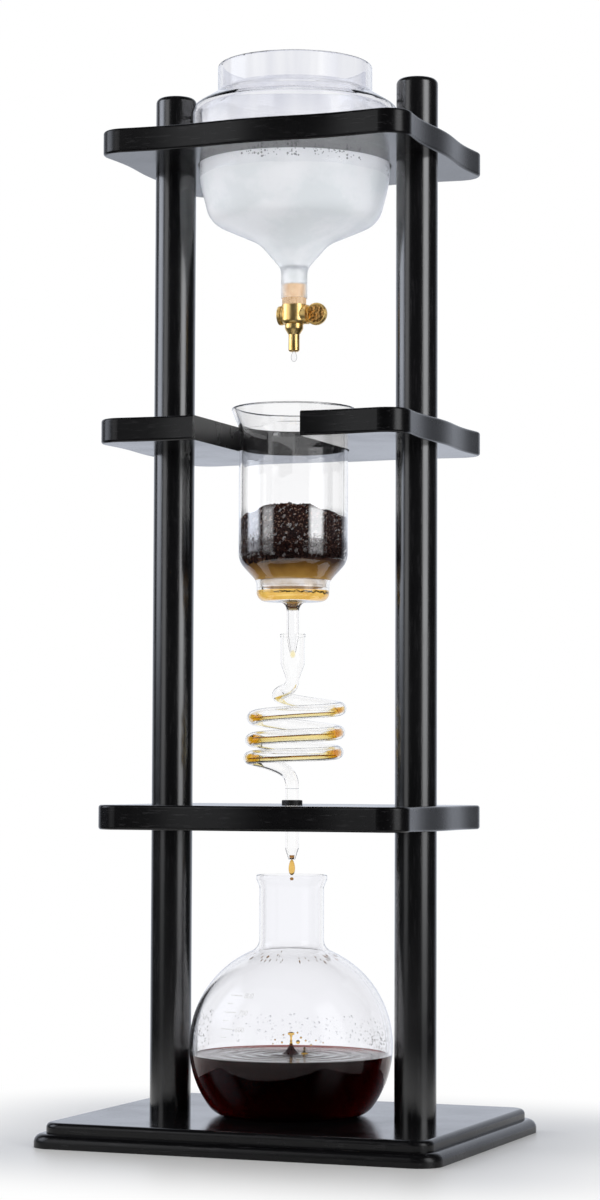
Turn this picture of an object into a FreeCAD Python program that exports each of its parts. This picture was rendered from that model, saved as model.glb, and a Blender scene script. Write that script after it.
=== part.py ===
"""Cold drip coffee tower.

A black wooden stand of a base board, two posts and three shelves carries a column of glass on one
vertical axis: a water vessel with a brass tap, a coffee cylinder with a filter, a coil condenser
and a round flask.

Millimetres. X runs along the front, Y from front to back, Z up. The origin is on the floor, under
the glass axis, at the middle of the base board's underside.
"""
import FreeCAD
import Part
import math
import os

V = FreeCAD.Vector
tolerance = 0.01                # for telling edges apart
os.makedirs("parts", exist_ok=True)

# ---------------------------------------------------------------- stand: driving dimensions
base_width = 262.0
base_depth = 214.0
base_corner_radius = 15.0
base_lower_tier = 8.5           # height of the wide lower tier
base_upper_tier = 6.5           # height of the narrower tier on it
base_tier_inset = 6.5           # how far the upper tier stands back on each side
base_lower_round = 5.5
base_upper_round = 3.2

post_radius = 13.0
post_spacing = 164.2            # between the two post axes
post_end_round = 3.6            # rounded top end
lower_post_length = 177.7
middle_post_length = 223.5
upper_post_length = 165.4
post_cap_length = 34.6

shelf_width = 204.0
shelf_depth = 164.0
shelf_thickness = 15.2
shelf_corner_radius = 15.0
shelf_edge_round = 1.6
wave_depth_front = 3.0          # how deep the wavy outline dips on the long edges
wave_depth_side = 2.2
waves_per_edge = 2
points_per_wave = 8

vessel_hole_radius = 61.1       # in the top shelf
slot_half_width = 35.2          # in the middle shelf, open to the front
stem_hole_radius = 5.6          # in the lower shelf
hole_edge_round = 0.6

stud_radius = 4.0
stud_grip = 18.0                # how far a stud goes into each post length
stud_end_gap = 1.0
screw_radius = 2.5
screw_grip = 30.0               # how far a base screw goes into the post
screw_head_radius = 5.0
screw_head_height = 2.8
washer_radius = 8.0
washer_thickness = 1.4
screw_recess_depth = 5.2
screw_recess_gap = 0.8

# ---------------------------------------------------------------- water vessel
vessel_wall = 3.0
vessel_body_clearance = 0.7     # between the bowl and the hole that it hangs through
vessel_seat_overhang = 3.2      # flat ring of the bulge that lies on the shelf
vessel_bulge_out = 5.4          # bulge beyond the hole's edge
vessel_bulge_foot = 4.3         # height of the bulge's slanted foot
vessel_bulge_foot_round = 8.0
vessel_shoulder_height = 20.7   # shelf top to the corner of the shoulder
vessel_shoulder_rise = 10.7     # corner of the shoulder to the foot of the collar
vessel_shoulder_round = 9.0
vessel_collar_radius = 49.0
vessel_collar_foot_round = 3.0
vessel_collar_height = 17.7
vessel_straight_below = 24.5    # straight wall below the shelf top
vessel_wall_lean = 6.6          # how far the bowl's side leans in towards its belly
vessel_side_height = 25.6       # height of the leaning side
vessel_side_round = 60.0
vessel_belly_round = 15.0
vessel_belly_reach = 31.3       # belly's slope, from its outer corner inwards
vessel_belly_drop = 13.9
vessel_belly_foot_round = 25.0
vessel_throat_drop = 16.4       # steeper throat between the belly and the neck
vessel_throat_round = 10.0
vessel_neck_radius = 8.3
vessel_neck_length = 18.8
vessel_neck_wall = 1.4

# ---------------------------------------------------------------- tap
stopper_grip = 8.6              # length inside the neck
stopper_flange_radius = 7.6
stopper_flange_height = 4.4
cork_clearance = 0.05
tap_inlet_radius = 3.0
tap_inlet_rise = 0.4            # inlet above the stopper
tap_bore_radius = 1.3
tap_body_radius = 8.0
tap_foot_round = 2.6            # underside of the tap body
tap_axis_drop = 6.3             # plug axis below the top of the tap body
tap_barrel_radius = 5.9         # its underside is level with the nozzle's top
tap_barrel_half_length = 7.2
tap_disc_radius = 6.1           # boss, spring washer and nut
plug_radius_wide = 3.8
plug_radius_narrow = 3.1
plug_clearance = 0.03
plug_boss_thickness = 2.2
plug_tail_radius = 2.0
spring_washer_thickness = 0.7
spring_washer_radius = 5.4
tap_nut_thickness = 2.0
tap_nut_round = 0.4
paddle_radius = 7.1
paddle_thickness = 2.6
paddle_edge_round = 0.65
paddle_reach = 15.1             # paddle centre from the glass axis
face_clearance = 0.05
nozzle_collar_radius = 5.8
nozzle_collar_height = 2.9
nozzle_collar_round = 2.6
nozzle_cone_height = 3.8
nozzle_spigot_radius = 2.9
nozzle_spigot_length = 1.2
spout_radius = 3.5
spout_length = 10.7
spout_tip_chamfer = 0.8

# ---------------------------------------------------------------- coffee cylinder and filter
cylinder_radius = 34.4
cylinder_wall = 2.2
cylinder_rim_radius = 39.0
cylinder_rim_height = 11.0      # rim above the middle shelf
cylinder_seat_gap = 0.05        # between the flare and the edge of the slot
cylinder_flare_round = 6.0
cylinder_body_length = 85.7     # shelf top to the corner of the taper
cylinder_shoulder_round = 13.0
cylinder_taper_height = 12.6
cylinder_waist_round = 8.0
cylinder_cup_radius = 22.9      # the narrow cup below the taper
cylinder_cup_height = 12.6
cylinder_cup_wall = 2.3
cylinder_cup_round = 5.5
cylinder_funnel_round = 6.0
cylinder_stem_radius = 3.9
cylinder_stem_wall = 1.3
cylinder_stem_length = 22.0     # cup bottom to the start of the tip
cylinder_tip_length = 10.0
cylinder_tip_radius = 2.0
cylinder_tip_bore = 0.9
filter_ledge_width = 1.6        # ledge in the cup that the filter seal lies on
filter_ledge_height = 8.6       # ledge above the cup's bottom
filter_thickness = 4.2
filter_edge_round = 0.7
filter_clearance = 0.25
filter_hole_radius = 0.8
filter_ring_count = 3           # rings of holes round the middle one
filter_hole_count = 6           # holes in the innermost ring; each ring out has that many more
filter_hole_pitch = 5.0
seal_thickness = 1.3
seal_width = 3.2

# ---------------------------------------------------------------- coil condenser and grommet
socket_radius = 7.6
socket_wall = 1.3
socket_lap = 11.8               # how far the socket reaches up round the cylinder's tip
socket_height = 19.0
socket_bead = 0.45              # how far the rim's bead stands out
bead_height = 2.4
socket_taper_height = 9.0
coil_tube_radius = 4.2
coil_tube_wall = 1.1
coil_radius = 26.9
coil_turns = 2.5
coil_lean = 1.6                 # one side of the hand-wound coil sits this much higher
coil_sway = 3.2                 # the highest turn stands this far to the right of the glass axis
coil_sway_foot = 0.6            # and the lowest turn this far
coil_slump = 1.9                # the middle turn hangs this much lower than an even winding
coil_start_angle = 21.0         # seen from above, from +X towards +Y
coil_steps_per_turn = 12
coil_bend_share = 0.48          # share of each straight run that a bend takes up
lead_in_turn = 220.0            # angle over which it winds out to the coil's radius
lead_in_steps = 6
lead_out_turn = 90.0            # angle over which it winds in to the axis
lead_out_steps = 4
# shares of the height from the foot of the socket's taper down to the stem; the turns get the rest
lead_in_bend_share = 0.088      # down to where the tube leaves the axis
lead_in_share = 0.277           # down to the first turn
lead_in_sag_share = 0.115       # extra height of the tube close to the axis
lead_out_share = 0.198          # from the end of the last turn to the bend into the stem
lead_out_end_share = 0.067      # from that bend to the stem
tube_overlap = 5.0              # run of tube inside the socket's taper and inside the stem
tube_wedge = 0.3                # how far the stem's taper starts inside the tube's wall
stem_radius = 4.3
stem_wall = 1.3
stem_joint_height = 1.0         # where the coil's tube widens to the stem
stem_above_grommet = 8.0
stem_below_shelf = 11.8
stem_tip_length = 7.0
stem_tip_radius = 2.1
stem_tip_wall = 0.7
grommet_flange_radius = 6.5
grommet_flange_height = 3.1
grommet_round = 0.6
grommet_clearance = 0.03

# ---------------------------------------------------------------- flask
flask_radius = 63.6
flask_wall = 2.2
flask_centre_height = 43.3      # above the base board
flask_heel_round = 15.0
flask_neck_radius = 20.2
flask_neck_top = 141.5          # foot of the lip, above the base board
flask_shoulder_round = 8.0
flask_lip_radius = 22.2
flask_lip_flare = 5.0           # height over which the neck widens to the lip
flask_lip_height = 7.8
flask_lip_round = 3.0
flask_lip_edge_round = 0.9

# ---------------------------------------------------------------- heights that follow
base_top = base_lower_tier + base_upper_tier
lower_shelf_bottom = base_top + lower_post_length
lower_shelf_top = lower_shelf_bottom + shelf_thickness
middle_shelf_bottom = lower_shelf_top + middle_post_length
middle_shelf_top = middle_shelf_bottom + shelf_thickness
top_shelf_bottom = middle_shelf_top + upper_post_length
top_shelf_top = top_shelf_bottom + shelf_thickness
post_x = post_spacing / 2


def export(name, *solids):
    """Write one or more solids as the sub-part of that name."""
    for solid in solids:
        if not solid.isValid():
            raise ValueError(name + " is not a valid solid")
    shape = solids[0] if len(solids) == 1 else Part.makeCompound(list(solids))
    shape.exportStep("parts/" + name + ".step")


def single(shape):
    """The one solid that a boolean operation left."""
    if len(shape.Solids) != 1:
        raise ValueError("expected one solid, found " + str(len(shape.Solids)))
    return shape.Solids[0]


def cylinder(radius, bottom, top, x=0.0, y=0.0):
    return Part.makeCylinder(radius, top - bottom, V(x, y, bottom))


def cross_cylinder(radius, start, end, z):
    """A cylinder along X, on the plug axis."""
    return Part.makeCylinder(radius, end - start, V(start, 0, z), V(1, 0, 0))


def line(start, end):
    return Part.makeLine(V(start[0], 0, start[1]), V(end[0], 0, end[1]))


def turned(edges):
    """Turn a closed outline in the XZ plane about the glass axis."""
    face = Part.Face(Part.Wire(Part.__sortEdges__(edges)))
    return face.revolve(V(0, 0, 0), V(0, 0, 1), 360)


def rounded_lip(outer, inner):
    """A half circle over the top of a wall."""
    start = V(outer[0], 0, outer[1])
    end = V(inner[0], 0, inner[1])
    across = end - start
    middle = (start + end) / 2 + V(across.z, 0, -across.x) / 2
    return Part.Arc(start, middle, end).toShape()


def lathe(points):
    """Turn a closed outline of straight sides about the glass axis."""
    closed = points + [points[0]]
    return turned([line(a, b) for a, b in zip(closed[:-1], closed[1:])])


def rounded(corners):
    """Edges through (radius, height, rounding) corners; each rounding is a tangent arc."""
    edges = []
    start = corners[0][:2]
    for before, corner, after in zip(corners[:-2], corners[1:-1], corners[2:]):
        point = V(corner[0], 0, corner[1])
        into = point - V(before[0], 0, before[1])
        out = V(after[0], 0, after[1]) - point
        into.normalize()
        out.normalize()
        half_turn = into.getAngle(out) / 2
        if corner[2] > 0 and half_turn > tolerance:
            reach = corner[2] * math.tan(half_turn)
            first = point - into * reach
            last = point + out * reach
            toward = into - out
            toward.normalize()
            middle = point - toward * (corner[2] / math.cos(half_turn) - corner[2])
            edges.append(line(start, (first.x, first.z)))
            edges.append(Part.Arc(first, middle, last).toShape())
            start = (last.x, last.z)
        else:
            edges.append(line(start, corner))
            start = corner[:2]
    edges.append(line(start, corners[-1]))
    return edges


def inside(corners, wall):
    """The corners of an upward outline, moved towards the axis side by the wall, roundings and all."""
    sides = []
    for start, end in zip(corners[:-1], corners[1:]):
        run = V(end[0] - start[0], end[1] - start[1], 0)
        run.normalize()
        sides.append((V(start[0] - run.y * wall, start[1] + run.x * wall, 0), run))
    moved = [(sides[0][0].x, sides[0][0].y, 0)]
    for corner, (start, run), (next_start, next_run) in zip(corners[1:-1], sides[:-1], sides[1:]):
        turn = run.x * next_run.y - run.y * next_run.x
        gap = next_start - start
        reach = (gap.x * next_run.y - gap.y * next_run.x) / turn
        point = start + run * reach
        rounding = corner[2] - math.copysign(wall, turn)
        moved.append((point.x, point.y, max(rounding, 0)))
    last = sides[-1][1]
    moved.append((corners[-1][0] - last.y * wall, corners[-1][1] + last.x * wall, 0))
    return moved


def slid(corner, towards, radius):
    """The corner, moved along the line to the next corner until it is at another radius."""
    share = (radius - corner[0]) / (towards[0] - corner[0])
    return (radius, corner[1] + share * (towards[1] - corner[1]), corner[2])


def edges_at(shape, height, minimum_radius=0.0):
    """Circular edges that lie flat at a height."""
    found = []
    for edge in shape.Edges:
        low = abs(edge.BoundBox.ZMin - height)
        high = abs(edge.BoundBox.ZMax - height)
        if max(low, high) < tolerance and edge.BoundBox.XMax > minimum_radius:
            found.append(edge)
    return found


# ---------------------------------------------------------------- stand
def rounded_board(width, depth, corner, bottom, height):
    box = Part.makeBox(width, depth, height, V(-width / 2, -depth / 2, bottom))
    upright = [e for e in box.Edges if e.BoundBox.ZLength > height / 2]
    return box.makeFillet(corner, upright)


def post_places():
    return [("left", -post_x), ("right", post_x)]


def base_board():
    lower = rounded_board(base_width, base_depth, base_corner_radius, 0, base_lower_tier)
    lower = lower.makeFillet(base_lower_round, edges_at(lower, base_lower_tier))
    upper = rounded_board(base_width - 2 * base_tier_inset, base_depth - 2 * base_tier_inset,
                          base_corner_radius - base_tier_inset / 2, base_lower_tier / 2,
                          base_top - base_lower_tier / 2)
    upper = upper.makeFillet(base_upper_round, edges_at(upper, base_top))
    board = lower.fuse(upper)
    for _, x in post_places():
        board = board.cut(cylinder(washer_radius + screw_recess_gap, 0, screw_recess_depth, x))
        board = board.cut(cylinder(screw_radius, 0, base_top, x))
    return single(board)


def post_length(x, bottom, length, low_bore, high_bore, rounded=False):
    """One length of a post; each bore is (radius, depth), or None."""
    post = cylinder(post_radius, bottom, bottom + length, x)
    if rounded:
        post = post.makeFillet(post_end_round, edges_at(post, bottom + length, x))
    if low_bore:
        post = post.cut(cylinder(low_bore[0], bottom, bottom + low_bore[1], x))
    if high_bore:
        post = post.cut(cylinder(high_bore[0], bottom + length - high_bore[1], bottom + length, x))
    return single(post)


def wavy_edge(start, end, depth, inward):
    """One edge of a shelf: whole waves that dip inward between the two corners."""
    steps = points_per_wave * waves_per_edge
    points = []
    for step in range(steps + 1):
        share = step / steps
        dip = depth * (1 - math.cos(2 * math.pi * waves_per_edge * share)) / 2
        points.append(start + (end - start) * share + inward * dip)
    spline = Part.BSplineCurve()
    spline.interpolate(points)
    return spline.toShape()


def shelf_blank(bottom):
    half_x = shelf_width / 2
    half_y = shelf_depth / 2
    front_left = V(-half_x, -half_y, bottom)
    front_right = V(half_x, -half_y, bottom)
    back_right = V(half_x, half_y, bottom)
    back_left = V(-half_x, half_y, bottom)
    edges = [wavy_edge(front_left, front_right, wave_depth_front, V(0, 1, 0)),
             wavy_edge(front_right, back_right, wave_depth_side, V(-1, 0, 0)),
             wavy_edge(back_right, back_left, wave_depth_front, V(0, -1, 0)),
             wavy_edge(back_left, front_left, wave_depth_side, V(1, 0, 0))]
    board = Part.Face(Part.Wire(edges)).extrude(V(0, 0, shelf_thickness))
    corners = [e for e in board.Edges if e.BoundBox.ZLength > shelf_thickness / 2]
    board = board.makeFillet(shelf_corner_radius, corners)
    rims = edges_at(board, bottom) + edges_at(board, bottom + shelf_thickness)
    return board.makeFillet(shelf_edge_round, rims)


def shelf(bottom, opening):
    """A shelf with its two stud holes and the opening for the glass that it carries."""
    board = shelf_blank(bottom).cut(opening)
    for _, x in post_places():
        board = board.cut(cylinder(stud_radius, bottom, bottom + shelf_thickness, x))
    return single(board)


def round_opening(radius, bottom):
    """A round hole through a shelf, its edges broken by a small bevel."""
    top = bottom + shelf_thickness
    wide = radius + hole_edge_round
    return lathe([(0, bottom), (wide, bottom), (radius, bottom + hole_edge_round),
                  (radius, top - hole_edge_round), (wide, top), (0, top)])


def slot_opening(bottom):
    """A slot with a round inner end about the glass axis, open to the front."""
    round_end = cylinder(slot_half_width, bottom, bottom + shelf_thickness)
    reach = shelf_depth
    straight = Part.makeBox(2 * slot_half_width, reach, shelf_thickness,
                            V(-slot_half_width, -reach, bottom))
    return round_end.fuse(straight)


def post_studs():
    studs = []
    for shelf_bottom in (lower_shelf_bottom, middle_shelf_bottom, top_shelf_bottom):
        for _, x in post_places():
            low = shelf_bottom - stud_grip
            high = shelf_bottom + shelf_thickness + stud_grip
            studs.append(cylinder(stud_radius, low, high, x))
    return studs


def base_screws():
    screws = []
    head_top = screw_recess_depth - washer_thickness
    for _, x in post_places():
        head = cylinder(screw_head_radius, head_top - screw_head_height, head_top, x)
        shank = cylinder(screw_radius, head_top, base_top + screw_grip, x)
        screws.append(single(head.fuse(shank)))
    return screws


def base_washers():
    washers = []
    for _, x in post_places():
        ring = cylinder(washer_radius, screw_recess_depth - washer_thickness, screw_recess_depth, x)
        washers.append(ring.cut(cylinder(screw_radius, 0, base_top, x)))
    return washers


stud_bore = (stud_radius, stud_grip + stud_end_gap)
screw_bore = (screw_radius, screw_grip + stud_end_gap)
export("base_board", base_board())
for side, x in post_places():
    export(side + "_lower_post", post_length(x, base_top, lower_post_length, screw_bore, stud_bore))
    export(side + "_middle_post", post_length(x, lower_shelf_top, middle_post_length, stud_bore, stud_bore))
    export(side + "_upper_post", post_length(x, middle_shelf_top, upper_post_length, stud_bore, stud_bore))
    export(side + "_post_cap", post_length(x, top_shelf_top, post_cap_length, stud_bore, None, rounded=True))
export("lower_shelf", shelf(lower_shelf_bottom, round_opening(stem_hole_radius, lower_shelf_bottom)))
export("middle_shelf", shelf(middle_shelf_bottom, slot_opening(middle_shelf_bottom)))
export("top_shelf", shelf(top_shelf_bottom, round_opening(vessel_hole_radius, top_shelf_bottom)))
export("post_studs", *post_studs())
export("base_screws", *base_screws())
export("base_washers", *base_washers())

# ---------------------------------------------------------------- water vessel
vessel_body_radius = vessel_hole_radius - vessel_body_clearance
vessel_bulge_radius = vessel_hole_radius + vessel_bulge_out
side_top = top_shelf_top - vessel_straight_below
belly_corner = side_top - vessel_side_height
belly_radius = vessel_body_radius - vessel_wall_lean
throat_top = belly_corner - vessel_belly_drop
throat_foot = throat_top - vessel_throat_drop
neck_bottom = throat_foot - vessel_neck_length
shoulder = top_shelf_top + vessel_shoulder_height
collar_foot = shoulder + vessel_shoulder_rise
vessel_rim = collar_foot + vessel_collar_height
neck_bore_radius = vessel_neck_radius - vessel_neck_wall


def water_vessel():
    lip_height = vessel_rim - vessel_wall / 2
    outer = [(vessel_neck_radius, neck_bottom, 0),
             (vessel_neck_radius, throat_foot, vessel_throat_round),
             (belly_radius - vessel_belly_reach, throat_top, vessel_belly_foot_round),
             (belly_radius, belly_corner, vessel_belly_round),
             (vessel_body_radius, side_top, vessel_side_round),
             (vessel_body_radius, top_shelf_top, 0),
             (vessel_hole_radius + vessel_seat_overhang, top_shelf_top, 0),
             (vessel_bulge_radius, top_shelf_top + vessel_bulge_foot, vessel_bulge_foot_round),
             (vessel_bulge_radius, shoulder, vessel_shoulder_round),
             (vessel_collar_radius, collar_foot, vessel_collar_foot_round),
             (vessel_collar_radius, lip_height, 0)]
    inner = inside(outer, vessel_wall)
    inner[1] = slid(inner[1], inner[2], neck_bore_radius)
    inner[0] = (neck_bore_radius, neck_bottom, 0)
    return turned(rounded(outer) + rounded(inner)
                  + [line(inner[0], outer[0]), rounded_lip(outer[-1], inner[-1])])


export("water_vessel", water_vessel())

# ---------------------------------------------------------------- tap
stopper_bottom = neck_bottom - stopper_flange_height
stopper_top = neck_bottom + stopper_grip
plug_axis = stopper_bottom - tap_axis_drop
nozzle_top = plug_axis - tap_barrel_radius
collar_bottom = nozzle_top - nozzle_collar_height
spout_top = collar_bottom - nozzle_cone_height
spout_bottom = spout_top - spout_length
boss_start = tap_barrel_half_length + face_clearance
boss_end = boss_start + plug_boss_thickness
washer_start = -tap_barrel_half_length - face_clearance - spring_washer_thickness
nut_start = washer_start - tap_nut_thickness


def tap_stopper():
    cork = lathe([(tap_inlet_radius, stopper_bottom), (stopper_flange_radius, stopper_bottom),
                  (stopper_flange_radius, neck_bottom),
                  (neck_bore_radius - cork_clearance, neck_bottom),
                  (neck_bore_radius - cork_clearance, stopper_top), (tap_inlet_radius, stopper_top)])
    return single(cork)


def plug_taper(clearance):
    """The cone of the plug along X, grown by a clearance."""
    length = 2 * tap_barrel_half_length
    return Part.makeCone(plug_radius_narrow + clearance, plug_radius_wide + clearance, length,
                         V(-tap_barrel_half_length, 0, plug_axis), V(1, 0, 0))


def tap_body():
    upright = turned(rounded([(0, nozzle_top, 0), (tap_body_radius, nozzle_top, tap_foot_round),
                              (tap_body_radius, stopper_bottom, 0), (0, stopper_bottom, 0)])
                     + [line((0, stopper_bottom), (0, nozzle_top))])
    inlet = cylinder(tap_inlet_radius, stopper_bottom, stopper_top + tap_inlet_rise)
    barrel = cross_cylinder(tap_barrel_radius, -tap_barrel_half_length, tap_barrel_half_length, plug_axis)
    body = upright.fuse([inlet, barrel])
    face_radius = tap_disc_radius + face_clearance
    for start in (-2 * tap_body_radius, tap_barrel_half_length):
        end = start + 2 * tap_body_radius - tap_barrel_half_length
        body = body.cut(cross_cylinder(face_radius, start, end, plug_axis))
    body = body.cut(plug_taper(plug_clearance))
    body = body.cut(cylinder(tap_bore_radius, nozzle_top, stopper_top + tap_inlet_rise))
    body = body.cut(cylinder(nozzle_spigot_radius, nozzle_top, nozzle_top + nozzle_spigot_length))
    return single(body)


def tap_nozzle():
    tip = spout_bottom + spout_tip_chamfer
    spigot_top = nozzle_top + nozzle_spigot_length
    outside = [(tap_bore_radius, spout_bottom, 0), (spout_radius - spout_tip_chamfer, spout_bottom, 0),
               (spout_radius, tip, 0), (spout_radius, spout_top, 0),
               (nozzle_collar_radius, collar_bottom, nozzle_collar_round),
               (nozzle_collar_radius, nozzle_top, 0), (nozzle_spigot_radius, nozzle_top, 0),
               (nozzle_spigot_radius, spigot_top, 0), (tap_bore_radius, spigot_top, 0)]
    return single(turned(rounded(outside) + [line(outside[-1], outside[0])]))


def tap_plug():
    """Tapered plug with its boss, thumb paddle and tail, bored across so that it is open at rest."""
    boss = cross_cylinder(tap_disc_radius, boss_start, boss_end, plug_axis)
    root = cross_cylinder(plug_radius_wide, tap_barrel_half_length, boss_start, plug_axis)
    tail = cross_cylinder(plug_tail_radius, nut_start, -tap_barrel_half_length, plug_axis)
    paddle = Part.makeCylinder(paddle_radius, paddle_thickness,
                               V(paddle_reach, -paddle_thickness / 2, plug_axis), V(0, 1, 0))
    paddle = paddle.makeFillet(paddle_edge_round, paddle.Edges)
    keep = Part.makeBox(4 * paddle_radius, 4 * paddle_radius, 4 * paddle_radius,
                        V(boss_start, -2 * paddle_radius, plug_axis - 2 * paddle_radius))
    plug = plug_taper(0).fuse([boss, root, tail, paddle.common(keep)])
    return single(plug.cut(cylinder(tap_bore_radius, plug_axis - tap_barrel_radius,
                                    plug_axis + tap_barrel_radius)))


def tap_spring_washer():
    washer_end = washer_start + spring_washer_thickness
    disc = cross_cylinder(spring_washer_radius, washer_start, washer_end, plug_axis)
    return disc.cut(cross_cylinder(plug_tail_radius, nut_start, 0, plug_axis))


def tap_nut():
    disc = cross_cylinder(tap_disc_radius, nut_start, washer_start, plug_axis)
    outer_edge = [e for e in disc.Edges if e.BoundBox.XLength < tolerance]
    disc = disc.makeFillet(tap_nut_round, outer_edge)
    return single(disc.cut(cross_cylinder(plug_tail_radius, nut_start, 0, plug_axis)))


export("tap_stopper", tap_stopper())
export("tap_body", tap_body())
export("tap_nozzle", tap_nozzle())
export("tap_plug", tap_plug())
export("tap_spring_washer", tap_spring_washer())
export("tap_nut", tap_nut())

# ---------------------------------------------------------------- coffee cylinder and filter
cylinder_rim = middle_shelf_top + cylinder_rim_height
shoulder_corner = middle_shelf_top - cylinder_body_length
waist_corner = shoulder_corner - cylinder_taper_height
cup_bottom = waist_corner - cylinder_cup_height
stem_straight_end = cup_bottom - cylinder_stem_length
cylinder_tip = stem_straight_end - cylinder_tip_length
ledge_height = cup_bottom + filter_ledge_height
cup_bore = cylinder_cup_radius - cylinder_cup_wall - filter_ledge_width
seat_bore = cylinder_cup_radius - cylinder_cup_wall


def coffee_cylinder():
    """Glass cylinder whose flare rests on the edge of the slot, with a cup, a ledge and a drip stem."""
    wall = cylinder_wall
    stem_bore = cylinder_stem_radius - cylinder_stem_wall
    lip_height = cylinder_rim - wall / 2
    seat = (slot_half_width - cylinder_seat_gap, middle_shelf_top, 0)
    rim = (cylinder_rim_radius, lip_height, 0)
    flare_corner = slid(seat, rim, cylinder_radius)[:2] + (cylinder_flare_round,)
    outer = [(cylinder_tip_radius, cylinder_tip, 0),
             (cylinder_stem_radius, stem_straight_end, 0),
             (cylinder_stem_radius, cup_bottom, cylinder_funnel_round),
             (cylinder_cup_radius, cup_bottom, cylinder_cup_round),
             (cylinder_cup_radius, waist_corner, cylinder_waist_round),
             (cylinder_radius, shoulder_corner, cylinder_shoulder_round),
             flare_corner,
             rim]
    upper = inside(outer[3:], wall)
    floor = cup_bottom + wall
    inner = [(cylinder_tip_bore, cylinder_tip, 0),
             (stem_bore, stem_straight_end, 0),
             (stem_bore, floor, cylinder_funnel_round),
             (cup_bore, floor, cylinder_cup_round - wall),
             (cup_bore, ledge_height, 0),
             (seat_bore, ledge_height, 0),
             slid(upper[1], upper[2], seat_bore)] + upper[2:]
    return turned(rounded(outer) + rounded(inner)
                  + [line(inner[0], outer[0]), rounded_lip(outer[-1], inner[-1])])


def filter_disc():
    """Round filter plate with rings of small drain holes."""
    bottom = ledge_height + seal_thickness
    top = bottom + filter_thickness
    plate = cylinder(seat_bore - filter_clearance, bottom, top)
    plate = plate.makeFillet(filter_edge_round, plate.Edges)
    holes = [cylinder(filter_hole_radius, bottom, top)]
    for ring in range(1, filter_ring_count + 1):
        count = filter_hole_count * ring
        for index in range(count):
            angle = 2 * math.pi * index / count
            reach = filter_hole_pitch * ring
            holes.append(cylinder(filter_hole_radius, bottom, top,
                                  reach * math.cos(angle), reach * math.sin(angle)))
    return single(plate.cut(holes))


def filter_seal():
    outer = seat_bore - filter_clearance
    ring = cylinder(outer, ledge_height, ledge_height + seal_thickness)
    return single(ring.cut(cylinder(outer - seal_width, ledge_height, ledge_height + seal_thickness)))


export("coffee_cylinder", coffee_cylinder())
export("filter_disc", filter_disc())
export("filter_seal", filter_seal())

# ---------------------------------------------------------------- coil condenser
socket_rim = cylinder_tip + socket_lap
socket_foot = socket_rim - socket_height
tube_top = socket_foot - socket_taper_height
stem_top = lower_shelf_top + grommet_flange_height + stem_above_grommet
stem_tip_top = lower_shelf_bottom - stem_below_shelf
stem_tip = stem_tip_top - stem_tip_length
coil_height = tube_top - stem_top
turns_height = coil_height * (1 - lead_in_share - lead_out_share - lead_out_end_share)
coil_pitch = (turns_height + coil_lean) / coil_turns


def around(radius, angle, height, sway):
    """A point at an angle about the coil's middle, in degrees from +X towards +Y."""
    turn = math.radians(angle)
    return V(sway + radius * math.cos(turn), radius * math.sin(turn), height)


def coil_route():
    """Corners of the tube's route, which its arcs then round off, from the socket down to the stem."""
    step = 360.0 / coil_steps_per_turn
    outside = coil_radius / math.cos(math.radians(step / 2))
    first_height = tube_top - coil_height * lead_in_share
    sag = coil_height * lead_in_sag_share
    route = [V(0, 0, tube_top + tube_overlap), V(0, 0, tube_top - coil_height * lead_in_bend_share)]
    for index in range(2, lead_in_steps):
        share = index / lead_in_steps
        before = lead_in_turn * (1 - share)
        height = first_height + coil_pitch * before / 360.0 + sag * (1 - share) ** 2
        route.append(around(outside * math.sin(math.pi / 2 * share), coil_start_angle + before, height,
                            coil_sway * share))
    steps = round(coil_turns * coil_steps_per_turn)
    for index in range(steps + 1):
        lean = coil_lean * (1 - math.cos(math.radians(index * step))) / 2
        slump = coil_slump * math.sin(math.pi * index / steps)
        height = first_height - coil_pitch * index / coil_steps_per_turn + lean - slump
        sway = coil_sway + (coil_sway_foot - coil_sway) * index / steps
        route.append(around(outside, coil_start_angle - index * step, height, sway))
    last_angle = coil_start_angle - steps * step
    last_height = route[-1].z
    for index in range(1, lead_out_steps + 1):
        share = index / lead_out_steps
        route.append(around(outside * math.cos(math.pi / 2 * share), last_angle - lead_out_turn * share,
                            last_height - coil_height * lead_out_share * share ** 2,
                            coil_sway_foot * (1 - share)))
    route.append(V(0, 0, stem_top - tube_overlap))
    return route


def rounded_path(corners):
    """Straight runs between the corners, joined by tangent arcs."""
    edges = []
    start = corners[0]
    for before, corner, after in zip(corners[:-2], corners[1:-1], corners[2:]):
        into = corner - before
        out = after - corner
        reach = coil_bend_share * min(into.Length, out.Length)
        into.normalize()
        out.normalize()
        half_turn = into.getAngle(out) / 2
        first = corner - into * reach
        last = corner + out * reach
        towards = into - out
        towards.normalize()
        radius = reach / math.tan(half_turn)
        middle = corner - towards * (radius / math.cos(half_turn) - radius)
        edges.append(Part.makeLine(start, first))
        edges.append(Part.Arc(first, middle, last).toShape())
        start = last
    edges.append(Part.makeLine(start, corners[-1]))
    return Part.Wire(edges)


def tube_along(path, radius):
    """A solid round bar along a path that starts straight down."""
    start = path.Edges[0].firstVertex().Point
    ring = Part.Wire(Part.makeCircle(radius, start, V(0, 0, -1)))
    return path.makePipeShell([ring], True, False)


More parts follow.
